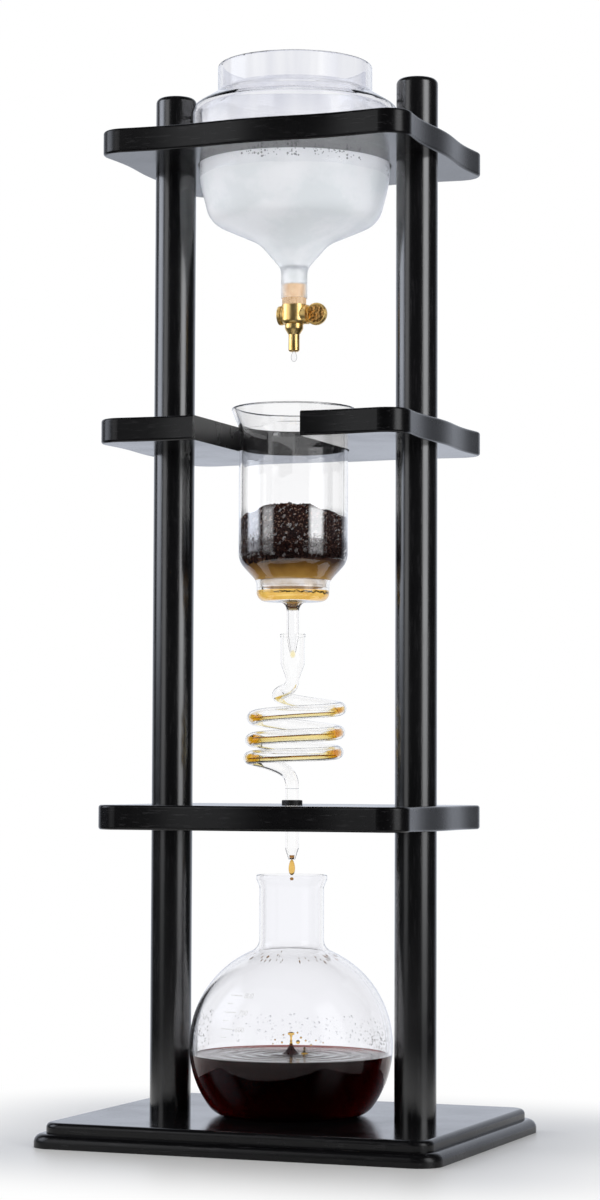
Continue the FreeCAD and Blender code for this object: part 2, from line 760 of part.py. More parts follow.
def coil_condenser():
    path = rounded_path(coil_route())
    tube_bore = coil_tube_radius - coil_tube_wall
    stem_bore = stem_radius - stem_wall
    bead_radius = socket_radius + socket_bead
    bead_bottom = socket_rim - bead_height
    bead_bevel = bead_height / 4
    socket_bore = socket_radius - socket_wall
    joint = stem_top - stem_joint_height
    tip_bore = stem_tip_radius - stem_tip_wall
    socket = lathe([(0, tube_top), (coil_tube_radius, tube_top), (socket_radius, socket_foot),
                    (socket_radius, bead_bottom), (bead_radius, bead_bottom + bead_bevel),
                    (bead_radius, socket_rim - bead_bevel), (socket_radius, socket_rim),
                    (0, socket_rim)])
    socket_hollow = lathe([(0, tube_top), (tube_bore, tube_top), (socket_bore, socket_foot),
                           (socket_bore, socket_rim), (0, socket_rim)])
    stem = lathe([(0, stem_top), (coil_tube_radius - tube_wedge, stem_top), (stem_radius, joint),
                  (stem_radius, stem_tip_top), (stem_tip_radius, stem_tip), (0, stem_tip)])
    stem_hollow = lathe([(0, stem_top), (tube_bore - tube_wedge, stem_top), (stem_bore, joint),
                         (stem_bore, stem_tip_top), (tip_bore, stem_tip), (0, stem_tip)])
    outer = socket.fuse([tube_along(path, coil_tube_radius), stem])
    hollow = socket_hollow.fuse([tube_along(path, tube_bore), stem_hollow])
    return single(outer.cut(hollow))


def coil_grommet():
    bore = stem_radius + grommet_clearance
    flange_top = lower_shelf_top + grommet_flange_height
    bevel = hole_edge_round
    wide = stem_hole_radius + bevel
    rubber = lathe([(bore, lower_shelf_bottom), (wide, lower_shelf_bottom),
                    (stem_hole_radius, lower_shelf_bottom + bevel),
                    (stem_hole_radius, lower_shelf_top - bevel), (wide, lower_shelf_top),
                    (grommet_flange_radius, lower_shelf_top), (grommet_flange_radius, flange_top),
                    (bore, flange_top)])
    soft = [e for e in edges_at(rubber, flange_top) if e.BoundBox.XMax > stem_hole_radius]
    return single(rubber.makeFillet(grommet_round, soft))


export("coil_condenser", coil_condenser())
export("coil_grommet", coil_grommet())

# ---------------------------------------------------------------- flask
flask_centre = base_top + flask_centre_height
lip_foot = base_top + flask_neck_top
lip_top = lip_foot + flask_lip_height


def flask_form(shrink):
    """The flask's outer form, or its hollow when shrunk by the wall."""
    floor = base_top + shrink
    ball = Part.makeSphere(flask_radius - shrink, V(0, 0, flask_centre))
    below = Part.makeBox(4 * flask_radius, 4 * flask_radius, flask_radius,
                         V(-2 * flask_radius, -2 * flask_radius, floor - flask_radius))
    ball = ball.cut(below)
    ball = ball.makeFillet(flask_heel_round - shrink, edges_at(ball, floor))
    neck_radius = flask_neck_radius - shrink
    meeting = flask_centre + math.sqrt((flask_radius - shrink) ** 2 - neck_radius ** 2)
    neck_start = meeting + flask_shoulder_round + shrink
    form = ball.fuse(cylinder(neck_radius, flask_centre, neck_start))
    form = form.makeFillet(flask_shoulder_round + shrink, edges_at(form, meeting))
    lip = flask_lip_radius - shrink
    neck = turned(rounded([(0, neck_start, 0), (neck_radius, neck_start, 0),
                           (neck_radius, lip_foot, flask_lip_round + shrink),
                           (lip, lip_foot + flask_lip_flare, flask_lip_round - shrink),
                           (lip, lip_top, 0), (0, lip_top, 0)])
                  + [line((0, lip_top), (0, neck_start))])
    return form.fuse(neck)


def flask():
    glass = flask_form(0).cut(flask_form(flask_wall))
    return single(glass.makeFillet(flask_lip_edge_round, edges_at(glass, lip_top)))


export("flask", flask())
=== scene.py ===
"""Cold drip coffee tower: materials, contents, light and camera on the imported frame.

Metres, in the frame's own axes: X along the front, Y from front to back, Z up from the floor,
with the glass column on the Z axis.
"""
import math
import random

import bmesh
import bpy
from mathutils import Matrix, Vector, noise
from mathutils.bvhtree import BVHTree


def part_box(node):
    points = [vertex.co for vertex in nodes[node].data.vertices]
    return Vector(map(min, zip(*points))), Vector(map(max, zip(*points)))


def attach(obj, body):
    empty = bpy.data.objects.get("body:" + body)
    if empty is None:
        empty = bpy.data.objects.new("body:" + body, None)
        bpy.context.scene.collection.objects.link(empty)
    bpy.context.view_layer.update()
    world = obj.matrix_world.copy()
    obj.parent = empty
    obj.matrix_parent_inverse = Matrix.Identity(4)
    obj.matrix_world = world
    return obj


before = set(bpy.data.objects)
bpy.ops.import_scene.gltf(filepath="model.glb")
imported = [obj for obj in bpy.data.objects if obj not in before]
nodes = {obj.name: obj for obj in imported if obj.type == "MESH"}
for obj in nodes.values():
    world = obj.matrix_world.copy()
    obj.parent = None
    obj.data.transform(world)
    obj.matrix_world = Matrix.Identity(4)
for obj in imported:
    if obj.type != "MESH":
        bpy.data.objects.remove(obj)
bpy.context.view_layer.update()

random.seed(11)
scene = bpy.context.scene
MM = 0.001

# heights above the floor, with every joint at rest
WATER_TOP = 614.0 * MM
WATER_FOOT = 548.5 * MM             # below it, clear water fills the vessel's neck
MIST_TOP = 602.0 * MM               # the vessel's glass is misted up to here
GROUNDS_TOP = 392.5 * MM
GROUNDS_FOOT = 360.4 * MM
COFFEE_TOP = 52.4 * MM              # in the flask
BALL_CENTRE = Vector((0, 0, 58.3 * MM))     # of the flask

# the line through the coil's bore
STEPS_PER_TURN = 12                 # as in the coil's own route
POINTS_PER_STEP = 8
LEAD_STEPS = 5.5                    # from the line's first point to the start of the turns


# ---------------------------------------------------------------- camera
def make_camera():
    """Looks at the front from the right, a little upwards, from two metres away."""
    place = (0.707017, -1.803788, 0.227859)
    azimuth, pitch, roll = (math.radians(angle) for angle in (21.272, 3.216, 0.234))
    forward = Vector((-math.sin(azimuth), math.cos(azimuth), 0)) * math.cos(pitch)
    forward.z = math.sin(pitch)
    right = Vector((math.cos(azimuth), math.sin(azimuth), 0))
    up = right.cross(forward)
    tilted_right = right * math.cos(roll) + up * math.sin(roll)
    tilted_up = up * math.cos(roll) - right * math.sin(roll)
    data = bpy.data.cameras.new("camera")
    data.sensor_width = 36
    data.lens = 92.442
    camera = bpy.data.objects.new("camera", data)
    turn = Matrix((tilted_right, tilted_up, -forward)).transposed().to_4x4()
    camera.matrix_world = Matrix.Translation(place) @ turn
    scene.collection.objects.link(camera)
    scene.camera = camera


# ---------------------------------------------------------------- shader helper
def triple(value):
    """A colour or scale as it is, or one number for all three of its parts."""
    return value if isinstance(value, tuple) else (value,) * 3


class Shader:
    """The node tree of one material, lamp or world."""

    def __init__(self, owner):
        owner.use_nodes = True
        self.owner = owner
        self.tree = owner.node_tree
        self.tree.nodes.clear()

    def fill(self, socket, value):
        """Link an output into a socket, or set the socket's own value."""
        if isinstance(value, bpy.types.NodeSocket):
            self.tree.links.new(value, socket)
        else:
            socket.default_value = value

    def node(self, kind, sockets=None, **settings):
        made = self.tree.nodes.new("ShaderNode" + kind)
        for key, value in settings.items():
            setattr(made, key, value)
        for key, value in (sockets or {}).items():
            self.fill(made.inputs[key], value)
        return made

    def math(self, operation, first, second=0.0):
        return self.node("Math", {0: first, 1: second}, operation=operation).outputs[0]

    def share(self, value, low, high, smooth=False, least=0.0):
        """Goes from least to 1 while the value goes from low to high."""
        sockets = {"Value": value, "From Min": low, "From Max": high, "To Min": least}
        kind = "SMOOTHSTEP" if smooth else "LINEAR"
        return self.node("MapRange", sockets, interpolation_type=kind).outputs[0]

    def rest(self, share):
        """What a share leaves of one."""
        return self.math("SUBTRACT", 1.0, share)

    def height(self):
        """Height above the floor at rest."""
        place = self.node("TexCoord").outputs["Object"]
        return self.node("SeparateXYZ", {0: place}).outputs["Z"]

    def facing(self, blend):
        """0 where the surface faces the eye, 1 at its outline."""
        return self.node("LayerWeight", {"Blend": blend}).outputs["Facing"]

    def place(self, scale):
        """Object coordinates, stretched by a scale."""
        coordinates = self.node("TexCoord").outputs["Object"]
        sockets = {"Vector": coordinates, "Scale": triple(scale)}
        return self.node("Mapping", sockets).outputs[0]

    def noise(self, scale, detail=2.0, roughness=0.5):
        return self.node("TexNoise", {"Vector": self.place(scale), "Scale": 1.0,
                                      "Detail": detail, "Roughness": roughness}).outputs[0]

    def cells(self, scale):
        return self.node("TexVoronoi", {"Vector": self.place(scale), "Scale": 1.0})

    def ramp(self, factor, *stops):
        """Colour ramp; each stop is (position, colour or grey)."""
        made = self.node("ValToRGB", {"Fac": factor})
        elements = made.color_ramp.elements
        while len(elements) < len(stops):
            elements.new(0.5)
        for element, (position, colour) in zip(elements, stops):
            element.position = position
            element.color = (*triple(colour), 1)
        return made.outputs[0]

    def blend(self, factor, first, second):
        """From the first colour to the second while the factor goes from 0 to 1."""
        made = self.node("Mix", {0: factor}, data_type="RGBA")
        for key, value in ((6, first), (7, second)):
            self.fill(made.inputs[key], (*value, 1) if isinstance(value, tuple) else value)
        return made.outputs[2]

    def bump(self, height, distance, strength):
        return self.node("Bump", {"Height": height, "Distance": distance,
                                  "Strength": strength}).outputs[0]

    def principled(self, sockets):
        return self.node("BsdfPrincipled", sockets).outputs[0]

    def mix(self, factor, first, second):
        return self.node("MixShader", {0: factor, 1: first, 2: second}).outputs[0]

    def end(self, surface, volume=None):
        sockets = {"Surface": surface}
        if volume:
            sockets["Volume"] = volume
        self.node("OutputMaterial", sockets)
        return self.owner

    def end_clear(self, surface, tint=(1, 1, 1), volume=None):
        """Lets lamps shine through, so that glass and liquid cast no black shadow."""
        clear = self.node("BsdfTransparent", {"Color": (*tint, 1)}).outputs[0]
        shadow = self.node("LightPath").outputs["Is Shadow Ray"]
        return self.end(self.mix(shadow, surface, clear), volume)


def material(name):
    return Shader(bpy.data.materials.new(name))


# ---------------------------------------------------------------- solid materials
def mottled(name, scale, detail, dark, light, rough, bump=None, metal=0.0, stops=(0.3, 0.7)):
    """Two tones in soft patches; rough may be a pair, bump is a distance and a strength."""
    shader = material(name)
    patches = shader.noise(scale, detail)

    def between(first, second):
        return shader.ramp(patches, (stops[0], first), (stops[1], second))

    sockets = {"Base Color": between(dark, light), "Metallic": metal,
               "Roughness": between(*rough) if isinstance(rough, tuple) else rough}
    if bump:
        sockets["Normal"] = shader.bump(patches, *bump)
    return shader.end(shader.principled(sockets))


def lacquer(name, along, roughness, shine, edge_roughness=None):
    """Black lacquer over open-pored wood; along is the axis that the grain follows."""
    shader = material(name)
    fine, coarse = (tuple(length if axis == along else width for axis in "xyz")
                    for length, width in ((60.0, 900.0), (9.0, 260.0)))
    pores = shader.ramp(shader.noise(fine, 3.0, 0.6), (0.34, 0.0), (0.42, 1.0))
    grain = shader.noise(coarse, 4.0)
    colour = shader.ramp(grain, (0.3, (0.0015, 0.0014, 0.0016)),
                         (0.75, (0.0035, 0.0033, 0.0038)))
    colour = shader.blend(pores, (0.012, 0.0115, 0.0125), colour)
    rough = shader.ramp(shader.noise(22.0, 3.0), (0.3, roughness - 0.04),
                        (0.7, roughness + 0.05))
    if edge_roughness:
        normal = shader.node("NewGeometry").outputs["Normal"]
        tilt = shader.node("SeparateXYZ", {0: normal}).outputs["Z"]
        edge = shader.rest(shader.share(shader.math("ABSOLUTE", tilt), 0.35, 0.9))
        more = shader.math("MULTIPLY", edge, edge_roughness - roughness)
        rough = shader.math("ADD", rough, more)
    height = shader.math("ADD", shader.math("MULTIPLY", pores, 0.7),
                         shader.math("MULTIPLY", grain, 0.5))
    return shader.end(shader.principled({
        "Base Color": colour, "Roughness": rough, "IOR": 1.5, "Specular IOR Level": shine,
        "Normal": shader.bump(height, 0.00006, 0.22)}))


def cork():
    """Pale tan stopper with fine darker specks."""
    shader = material("cork")
    grain = shader.noise((700.0, 700.0, 160.0), 4.0, 0.6)
    specks = shader.ramp(shader.cells(900.0).outputs["Distance"], (0.12, 0.0), (0.3, 1.0))
    colour = shader.ramp(grain, (0.3, (0.70, 0.43, 0.22)), (0.65, (0.90, 0.66, 0.43)))
    colour = shader.blend(specks, (0.45, 0.24, 0.11), colour)
    return shader.end(shader.principled({"Base Color": colour, "Roughness": 0.7,
                                         "Normal": shader.bump(grain, 0.0003, 0.5)}))


def brass(name, embossed=False):
    """Polished yellow brass with faint tarnish; the embossed one carries a pebbled relief."""
    shader = material(name)
    tarnish = shader.noise(180.0, 4.0)
    if embossed:
        pebbles = shader.cells(560.0).outputs["Distance"]
        colour = shader.ramp(pebbles, (0.15, (0.26, 0.12, 0.03)), (0.6, (0.66, 0.37, 0.12)))
        rough = shader.ramp(tarnish, (0.3, 0.34), (0.7, 0.5))
        normal = shader.bump(pebbles, 0.0006, 0.9)
    else:
        colour = shader.ramp(tarnish, (0.3, (0.90, 0.58, 0.18)), (0.7, (1.0, 0.74, 0.32)))
        rough = shader.ramp(tarnish, (0.3, 0.30), (0.7, 0.40))
        normal = shader.bump(shader.noise(1500.0), 0.00004, 0.3)
    return shader.end(shader.principled({"Base Color": colour, "Metallic": 1.0,
                                         "Roughness": rough, "Normal": normal}))


def ground_coffee():
    """Wet ground coffee: dark brown crumbs, with redder and paler ones among them above."""
    shader = material("ground_coffee")
    crumbs = shader.cells(1500.0)
    pick = shader.node("SeparateColor", {0: crumbs.outputs["Color"]}).outputs[0]
    dry = shader.ramp(pick, (0.0, (0.005, 0.0012, 0.0006)), (0.55, (0.024, 0.005, 0.002)),
                      (0.90, (0.055, 0.012, 0.005)), (0.985, (0.45, 0.28, 0.20)))
    wet = shader.ramp(pick, (0.0, (0.0025, 0.0006, 0.0004)), (0.7, (0.008, 0.002, 0.001)),
                      (0.96, (0.024, 0.006, 0.003)))
    colour = shader.blend(shader.share(shader.height(), 364 * MM, 386 * MM), wet, dry)
    relief = shader.rest(crumbs.outputs["Distance"])
    return shader.end(shader.principled({
        "Base Color": colour, "Roughness": shader.ramp(pick, (0.2, 0.22), (0.8, 0.6)),
        "Specular IOR Level": 0.10, "Normal": shader.bump(relief, 0.0008, 0.9)}))


# ---------------------------------------------------------------- glass and liquids
def end_glass(shader, colour, ior, more):
    """Borosilicate glass with the faint waves of blown work."""
    wave = shader.noise(26.0)
    return shader.end_clear(shader.principled({
        "Base Color": colour, "Transmission Weight": 1.0, "IOR": ior,
        "Normal": shader.bump(wave, 0.0003, 0.2), **more}))


def glass(name, tint, edge, ior, blend=0.3, wet=False):
    """Clear glass whose edges darken to a cool grey; wet adds the film beside the grounds."""
    shader = material(name)
    dimmer = tuple(0.985 * part for part in tint)
    colour = shader.ramp(shader.facing(blend), (0.0, tint), (0.62, dimmer), (1.0, edge))
    more = {"Roughness": 0.0}
    if wet:
        more.update({"Coat Weight": wet_film(shader), "Coat IOR": 2.4, "Coat Roughness": 0.06})
    return end_glass(shader, colour, ior, more)


def wet_film(shader):
    """Share of a bright wet film beside the grounds, broken into specks towards its foot."""
    level = shader.height()
    rise = shader.share(level, 365.5 * MM, 379 * MM)
    above = shader.share(level, 391 * MM, 394 * MM)
    grain = shader.noise(950.0, 2.0, 0.7)
    film = shader.share(shader.math("ADD", grain, shader.math("MULTIPLY", rise, 0.7)), 0.82, 1.0)
    return shader.math("MULTIPLY", film, shader.rest(above))


def misted_glass():
    """The vessel: misted below MIST_TOP, clear above it, streaked at its collar."""
    shader = material("clear_glass_misted")
    level = shader.height()
    upper = shader.share(level, MIST_TOP, MIST_TOP + 6 * MM)
    collar = shader.share(level, MIST_TOP + 30 * MM, MIST_TOP + 46 * MM)
    mist = shader.ramp(shader.noise(40.0, 3.0), (0.35, 0.36), (0.65, 0.44))
    rough = shader.math("MULTIPLY", mist, shader.rest(upper))
    streaks = shader.ramp(shader.noise((75.0, 75.0, 7.0), 3.0), (0.35, (0.78, 0.79, 0.845)),
                          (0.65, (0.91, 0.915, 0.945)))
    clouds = shader.ramp(shader.noise(34.0, 4.0, 0.6), (0.43, (0.84, 0.865, 0.87)),
                         (0.57, (0.985, 0.985, 0.99)))
    colour = shader.blend(upper, clouds, (0.955, 0.957, 0.975))
    colour = shader.blend(collar, colour, streaks)
    outline = shader.ramp(shader.facing(0.3), (0.5, 0.0), (1.0, 1.0))
    colour = shader.blend(outline, colour, (0.42, 0.43, 0.52))
    return end_glass(shader, colour, 1.32, {"Roughness": rough})


def cloudy_water():
    """Ice-cold water with ice in it: white and cloudy."""
    shader = material("cloudy_water")
    clouds = shader.noise((38.0, 38.0, 30.0), 5.0, 0.6)
    grit = shader.noise(520.0, 3.0, 0.7)
    colour = shader.ramp(clouds, (0.30, (0.91, 0.92, 0.935)), (0.65, (0.985, 0.985, 0.995)))
    colour = shader.blend(shader.ramp(grit, (0.30, 0.0), (0.42, 1.0)), (0.88, 0.895, 0.91),
                          colour)
    surface = shader.principled({"Base Color": colour, "Roughness": 0.85, "IOR": 1.2,
                                 "Transmission Weight": 0.65,
                                 "Normal": shader.bump(grit, 0.0002, 0.2)})
    return shader.end_clear(surface, (0.8, 0.82, 0.85))


def liquid(name, colour, ior, ripples, bump, tint=(1, 1, 1), absorption=None):
    """Clear liquid; ripples is their scale, tint is what lamps shine through it with,
    absorption is (colour, density): pale where it is thin, deep where it is thick."""
    shader = material(name)
    surface = shader.principled({"Base Color": (*colour, 1), "Transmission Weight": 1.0,
                                 "Roughness": 0.0, "IOR": ior,
                                 "Normal": shader.bump(shader.noise(ripples), *bump)})
    volume = None
    if absorption:
        sockets = {"Color": (*absorption[0], 1), "Density": absorption[1]}
        volume = shader.node("VolumeAbsorption", sockets).outputs[0]
    return shader.end_clear(surface, tint, volume)


def outlined(name, middle, edge, through):
    """Air bubbles and drops: clear in the middle, with dark outlines."""
    shader = material(name)
    colour = shader.ramp(shader.facing(0.5), (middle, (0.94, 0.94, 0.95)),
                         (edge, (0.02, 0.02, 0.025)))
    surface = shader.principled({
        "Base Color": colour, "Transmission Weight": through, "Roughness": 0.05, "IOR": 1.15,
        "Normal": shader.bump(shader.noise(700.0), 0.0002, 0.3)})
    return shader.end_clear(surface)


def amber_coffee(name, thin, thick):
    """Coffee in a thin layer: golden, browner towards its edges."""
    shader = material(name)
    patch = shader.ramp(shader.noise(120.0, 3.0), (0.35, 0.0), (0.65, 0.5))
    outline = shader.ramp(shader.facing(0.4), (0.45, 0.0), (0.9, 1.0))
    colour = shader.blend(outline, shader.blend(patch, thin, thick), thick)
    surface = shader.principled({"Base Color": colour, "Transmission Weight": 1.0,
                                 "Roughness": 0.02, "IOR": 1.34})
    return shader.end_clear(surface, thin)


def brew_painted_shade():
    """Coffee standing over the disc: amber towards the disc, darkening under the grounds as
    painted shade.
    """
    shader = material("brew_over_disc")
    patch = shader.math("MULTIPLY", shader.noise(110.0, 3.0), 6 * MM)
    level = shader.math("ADD", shader.height(), patch)
    # painted shade: the colour runs from amber at the disc to near black under the grounds
    colour = shader.ramp(shader.share(level, 352.5 * MM, 364 * MM), (0.0, (0.50, 0.29, 0.065)),
                         (0.5, (0.27, 0.135, 0.025)), (1.0, (0.03, 0.01, 0.004)))
    return shader.end(shader.principled({"Base Color": colour, "Roughness": 0.25, "IOR": 1.34}))


# ---------------------------------------------------------------- geometry helpers
def polar(radius, angle, height=0.0):
    """The point at a distance from the Z axis, in a direction seen from above."""
    return Vector((radius * math.cos(angle), radius * math.sin(angle), height))


def build(name, form, finish, body, smooth=True):
    """A piece from a bmesh, riding on a body."""
    bmesh.ops.recalc_face_normals(form, faces=form.faces)
    # a closed form can come out of that inside out, and an inverted liquid renders black
    closed = all(edge.is_manifold for edge in form.edges)
    if closed and form.calc_volume(signed=True) < 0:
        bmesh.ops.reverse_faces(form, faces=form.faces)
    mesh = bpy.data.meshes.new(name)
    form.to_mesh(mesh)
    form.free()
    mesh.materials.append(finishes[finish])
    for polygon in mesh.polygons:
        polygon.use_smooth = smooth
    made = bpy.data.objects.new(name, mesh)
    scene.collection.objects.link(made)
    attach(made, body)


def turn_profile(form, profile, sides, place=None):
    """Turn (radius, height) points about the Z axis, then place them; radius 0 makes a pole."""
    rings = []
    for radius, height in profile:
        if radius:
            angles = (2 * math.pi * i / sides for i in range(sides))
            rings.append([form.verts.new(polar(radius, angle, height)) for angle in angles])
        else:
            rings.append([form.verts.new((0, 0, height))])
    for low, high in zip(rings[:-1], rings[1:]):
        for i in range(sides):
            j = (i + 1) % sides
            corners = (low[i % len(low)], low[j % len(low)],
                       high[j % len(high)], high[i % len(high)])
            form.faces.new(dict.fromkeys(corners))
    if place:
        bmesh.ops.transform(form, matrix=place, verts=[vert for ring in rings for vert in ring])


def turned(name, profile, sides, finish, body):
    """A piece turned about the Z axis."""
    form = bmesh.new()
    turn_profile(form, profile, sides)
    build(name, form, finish, body)


def skin(form, rings):
    """Skin over a row of rings of as many points each, closed at both ends."""
    for low, high in zip(rings[:-1], rings[1:]):
        for i in range(len(low)):
            j = (i + 1) % len(low)
            form.faces.new((low[i], low[j], high[j], high[i]))
    form.faces.new(list(reversed(rings[0])))
    form.faces.new(rings[-1])


def tree_of(node):
    mesh = nodes[node].data
    return BVHTree.FromPolygons([v.co for v in mesh.vertices],
                                [p.vertices for p in mesh.polygons])


def wall_at(tree, height, angle=0.35):
    """Distance from the axis to the inner wall at a height."""
    hit = tree.ray_cast(Vector((0, 0, height)), polar(1, angle))
    return math.hypot(hit[0].x, hit[0].y)


def filled(tree, low, high, grow, steps):
    """Profile of a liquid that fills a glass between two heights, from the axis out and up."""
    inset = 0.02 * MM
    profile = [(0, low)]
    for step in range(steps + 1):
        height = low + (high - low) * (1 - math.cos(math.pi * step / steps)) / 2
        inner = min(max(height, low + inset), high - inset)
        profile.append((wall_at(tree, inner) + grow, height))
    return profile


def poured(name, tree, low, high, grow, steps, sides, finish, body):
    """A liquid with a flat top that fills a glass between two heights in mm."""
    profile = filled(tree, low * MM, high * MM, grow * MM, steps)
    turned(name, profile + [(0, high * MM)], sides, finish, body)


def drop(name, radius, length, bottom, sides, finish, body):
    """A hanging drop, sizes in mm: round below, drawn out to a neck above."""
    steps = 14
    profile = [(0, bottom * MM)]
    for step in range(1, steps):
        angle = math.pi * step / steps
        reach = radius * MM * math.sin(angle) * (1 - 0.45 * step / steps)
        profile.append((reach, (bottom + length * (1 - math.cos(angle)) / 2) * MM))
    profile.append((0, (bottom + length) * MM))
    turned(name, profile, sides, finish, body)


def bead(form, centre, radius, outward=None, flatten=1.0, stretch=1.0, detail=2):
    """A small round bead, or one pressed against a wall whose outward direction is given."""
    made = bmesh.ops.create_icosphere(form, subdivisions=detail, radius=radius)
    turn = Matrix.Identity(3)
    if outward is not None:
        turn = outward.to_track_quat("Z", "Y").to_matrix()
        turn = turn @ Matrix.Diagonal((1, stretch, flatten))
    for vert in made["verts"]:
        vert.co = turn @ vert.co + centre


# ---------------------------------------------------------------- vessel and tap
def water():
    """Water with a rounded edge at its top, clear water in the neck, and bubbles at the top."""
    tree = tree_of("water_vessel")
    profile = filled(tree, WATER_FOOT, WATER_TOP, 0.1 * MM, 70)
    rim = profile[-1][0]
    profile += [(rim - 1.2 * MM, WATER_TOP - 0.7 * MM), (rim - 3.5 * MM, WATER_TOP - 1.0 * MM),
                (0, WATER_TOP - 1.0 * MM)]
    turned("water", profile, 128, "cloudy_water", "vessel")
    poured("water_in_neck", tree, 537.2, WATER_FOOT / MM, 0.1, 8, 64, "clear_water", "vessel")

    form = bmesh.new()
    # how many, between which angles and at which depths
    for count, turns, depths in ((70, (-104, -24), (1.4, 6.0)), (14, (-162, -146), (1.0, 9.0)),
                                 (9, (6, 16), (3.0, 9.0)), (70, (20, 190), (0.5, 4.0))):
        for _ in range(count):
            angle = math.radians(random.uniform(*turns))
            height = WATER_TOP - random.uniform(*depths) * MM
            reach = wall_at(tree, height, angle) + 0.25 * MM
            size = random.choice((0.25, 0.35, 0.35, 0.5, 0.65)) * MM
            bead(form, polar(reach, angle, height), size, polar(1, angle), 0.7)
    build("water_bubbles", form, "bubble", "vessel")


def paddle_face():
    """Raised rim and pebbled field on both faces of the thumb paddle."""
    half_thickness = 1.3 * MM
    radius = 7.1 * MM
    axis_height = 517.3 * MM
    centre = Vector((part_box("tap_plug")[1].x - radius, 0, axis_height))
    rim, field = bmesh.new(), bmesh.new()
    rim_profile = [(radius - 0.75 * MM, 0), (radius - 0.85 * MM, 0.22 * MM),
                   (radius - 1.25 * MM, 0.26 * MM), (radius - 1.55 * MM, 0)]
    field_profile = [(radius - 1.5 * MM, 0), (radius - 1.7 * MM, 0.07 * MM),
                     (2.2 * MM, 0.13 * MM), (0, 0.15 * MM)]
    for side in (-1, 1):
        place = (Matrix.Translation(centre) @ Matrix.Rotation(-side * math.pi / 2, 4, "X")
                 @ Matrix.Translation((0, 0, half_thickness)))
        turn_profile(rim, rim_profile, 64, place)
        turn_profile(field, field_profile, 64, place)
    build("paddle_rim", rim, "brass", "tap_key")
    build("paddle_field", field, "brass_embossed", "tap_key")


# ---------------------------------------------------------------- coffee cylinder
def grounds():
    """A bed of wet grounds on the filter, its top uneven, with loose crumbs on and around it."""
    tree = tree_of("coffee_cylinder")
    sides, layers = 160, 26
    angles = [2 * math.pi * i / sides for i in range(sides)]
    ridge = math.radians(-72)

    def height_at(angle, share):
        """Height beside the wall, from the bed's foot at 0 to its top at 1; lift and sag in mm."""
        lift = 3.4 * math.cos(2 * (angle - ridge)) - 1.0 + 1.6 * noise.noise(polar(3.2, angle, 4))
        sag = 1.9 * math.cos(angle - 0.2) + 0.9 * noise.noise(polar(3, angle, 9))
        foot = GROUNDS_FOOT + sag * MM
        return foot + (GROUNDS_TOP + lift * MM - foot) * share

    form = bmesh.new()
    rings = []
    for layer in range(layers + 1):
        ring = []
        for angle in angles:
            height = height_at(angle, layer / layers)
            hollow = max(0, noise.noise(polar(26, angle, height * 900)) - 0.15) * 0.9 * MM
            reach = wall_at(tree, height) + 0.12 * MM - hollow
            ring.append(form.verts.new(polar(reach, angle, height)))
        rings.append(ring)
    top_radius = 31.3 * MM
    foot_radius = top_radius * wall_at(tree, GROUNDS_FOOT) / (31.7 * MM)
    for share in (0.93, 0.8, 0.6, 0.4, 0.2):
        for level, radius, middle in ((1, top_radius, GROUNDS_TOP + 1.5 * MM),
                                      (0, foot_radius, GROUNDS_FOOT)):
            ring = []
            for angle in angles:
                point = polar(radius * share, angle)
                lump = noise.noise(Vector((point.x * 300, point.y * 300, 2 + level))) * 1.5 * MM
                point.z = height_at(angle, level) * share + middle * (1 - share) + lump
                ring.append(form.verts.new(point))
            rings.insert(len(rings) * level, ring)
    skin(form, rings)
    build("coffee_grounds", form, "ground_coffee", "filter")

    form = bmesh.new()
    for _ in range(420):
        angle = math.radians(random.uniform(0, 360))
        reach = 30.6 * MM * math.sqrt(random.uniform(0.45, 1))
        centre = polar(reach, angle, height_at(angle, 1) + random.uniform(-0.3, 0.7) * MM)
        size = random.uniform(0.35, 0.95) * MM
        made = bmesh.ops.create_icosphere(form, subdivisions=1, radius=size)
        twist = random.uniform(0, 6)
        tilt = Matrix.Rotation(twist, 3, Vector((random.random(), random.random(), 1)))
        for vert in made["verts"]:
            vert.co = tilt @ (vert.co * random.uniform(0.7, 1.15)) + centre
    build("loose_crumbs", form, "ground_coffee", "filter", smooth=False)


def brew():
    """Coffee on its way down through the cylinder: over the disc, in the cup and in the stem."""
    tree = tree_of("coffee_cylinder")
    poured("brew_over_disc", tree, 349.9, 362.0, 0.08, 18, 96, "brew_painted_shade", "filter")
    poured("brew_in_cup", tree, 338.0, 342.6, 0.08, 14, 96, "amber_cup", "cylinder")
    fines_line(tree)
    poured("brew_in_stem", tree, 330.5, 337.9, 0.05, 10, 48, "amber", "cylinder")
    drop("cylinder_drop", 2.1, 5.2, 300.2, 32, "amber", "cylinder")


def fines_line(tree):
    """Fine grounds left on the wall of the cup in a thin wandering line."""
    form = bmesh.new()
    rings = []
    steps = 140
    around = [math.pi * k / 3 for k in range(6)]
    for step in range(steps + 1):
        angle = math.radians(-104 + 118 * step / steps)
        wobble = (1.1 * noise.noise(Vector((step * 0.11, 3, 7)))
                  + 0.5 * noise.noise(Vector((step * 0.5, 1, 2))))
        size = (0.22 + 0.5 * abs(noise.noise(Vector((step * 0.19, 8, 1))))) * MM
        height = (341.3 + wobble) * MM
        reach = wall_at(tree, height) + 0.1 * MM
        rings.append([form.verts.new(polar(reach + size * math.cos(a), angle,
                                           height + size * math.sin(a))) for a in around])
    skin(form, rings)
    build("fines_line", form, "ground_coffee", "cylinder")


